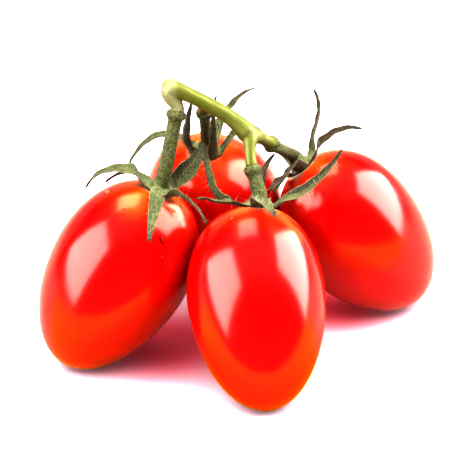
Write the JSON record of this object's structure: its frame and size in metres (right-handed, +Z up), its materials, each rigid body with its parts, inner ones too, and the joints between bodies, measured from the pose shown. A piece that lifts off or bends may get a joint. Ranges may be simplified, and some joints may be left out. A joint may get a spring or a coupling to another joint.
{
  "type": "truss of plum tomatoes on the vine",
  "caption": "Plum tomatoes on a branching green vine stem, each under a calyx of curling pointed sepals, lying on their sides with stem ends gathered.",
  "frame": {"origin": "middle of the whole truss in plan, at the height of the table it rests on", "axes": "+X to the right across the truss, +Y away from the front fruit towards the back one, +Z up"},
  "size_m": [0.0971, 0.0834, 0.0696],
  "materials": {
    "skin": "taut glossy ripe tomato skin",
    "sepal": "grey-green downy leaf, dry and dark towards the tips",
    "stem": "yellow-green satin stalk with fine down"
  },
  "bodies": {
    "root": {"fruit_left": "skin", "fruit_front": "skin", "fruit_right": "skin", "fruit_back": "skin", "calyx_left": "sepal", "calyx_front": "sepal", "calyx_right": "sepal", "calyx_back": "sepal", "stem": "stem"}
  },
  "joints": []
}
